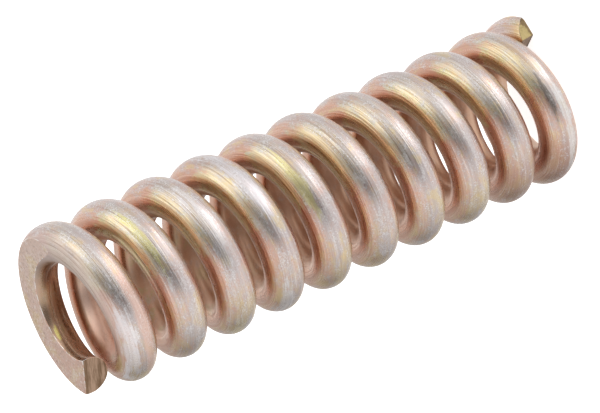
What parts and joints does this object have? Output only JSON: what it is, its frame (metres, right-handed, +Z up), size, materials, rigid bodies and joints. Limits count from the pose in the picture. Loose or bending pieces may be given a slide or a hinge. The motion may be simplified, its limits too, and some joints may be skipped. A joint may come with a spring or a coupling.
{
  "type": "compression spring",
  "caption": "Helical compression spring of round steel wire with closed and ground ends, yellow zinc plated; pushes two parts apart along its axis.",
  "frame": {"origin": "on the coil axis, in the plane of the lower ground end face, which the spring stands on", "axes": "+Z up the coil axis towards the upper ground end; +X towards the tip of the wire at the lower end"},
  "size_m": [0.0176, 0.0176, 0.058],
  "materials": {
    "plated_wire": "yellow zinc plating over drawn wire, satin, with iridescent gold, pink and green tints"
  },
  "bodies": {
    "root": {"spring": "plated_wire"}
  },
  "joints": []
}
